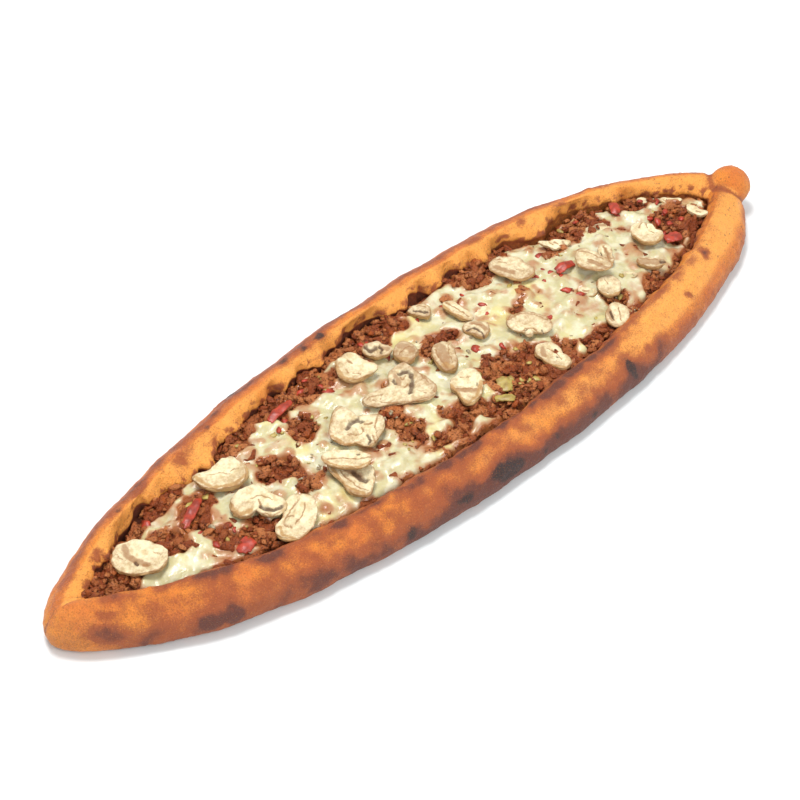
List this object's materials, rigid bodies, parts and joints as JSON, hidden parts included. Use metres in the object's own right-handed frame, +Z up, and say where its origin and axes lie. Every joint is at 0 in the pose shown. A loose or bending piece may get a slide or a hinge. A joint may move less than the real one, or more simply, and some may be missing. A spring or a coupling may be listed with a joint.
{
  "type": "turkish pide",
  "caption": "Long boat-shaped flatbread with a rolled crust, a knotted end, a minced meat filling under melted cheese, mushroom slices and pepper pieces.",
  "frame": {"origin": "middle of the underside, on the surface that the pide rests on", "axes": "+X along the loaf towards its knob, +Y across it towards the far rim, +Z up"},
  "size_m": [0.5369, 0.158, 0.0322],
  "materials": {
    "baked_dough": "baked golden-brown dough, matte, with browner crest and charred spots",
    "minced_meat": "browned minced meat, moist",
    "melted_cheese": "melted cheese, pale cream-yellow and glossy",
    "mushroom_flesh": "sliced mushroom, cream flesh with tan skin and dark gills",
    "red_pepper": "cooked red pepper, moist",
    "green_pepper": "cooked green pepper, olive-yellow, moist"
  },
  "bodies": {
    "root": {"crust": "baked_dough", "meat_filling": "minced_meat", "melted_cheese": "melted_cheese", "mushroom_01": "mushroom_flesh", "mushroom_02": "mushroom_flesh", "mushroom_03": "mushroom_flesh", "mushroom_04": "mushroom_flesh", "mushroom_05": "mushroom_flesh", "mushroom_06": "mushroom_flesh", "mushroom_07": "mushroom_flesh", "mushroom_08": "mushroom_flesh", "mushroom_09": "mushroom_flesh", "mushroom_10": "mushroom_flesh", "mushroom_11": "mushroom_flesh", "mushroom_12": "mushroom_flesh", "mushroom_13": "mushroom_flesh", "mushroom_14": "mushroom_flesh", "mushroom_15": "mushroom_flesh", "mushroom_16": "mushroom_flesh", "mushroom_17": "mushroom_flesh", "mushroom_18": "mushroom_flesh", "mushroom_19": "mushroom_flesh", "mushroom_20": "mushroom_flesh", "mushroom_21": "mushroom_flesh", "mushroom_22": "mushroom_flesh", "mushroom_23": "mushroom_flesh", "mushroom_24": "mushroom_flesh", "mushroom_25": "mushroom_flesh", "mushroom_26": "mushroom_flesh", "mushroom_27": "mushroom_flesh", "pepper_red_1": "red_pepper", "pepper_red_2": "red_pepper", "pepper_red_3": "red_pepper", "pepper_red_4": "red_pepper", "pepper_red_5": "red_pepper", "pepper_red_6": "red_pepper", "pepper_green_1": "green_pepper", "pepper_green_2": "green_pepper"}
  },
  "joints": []
}
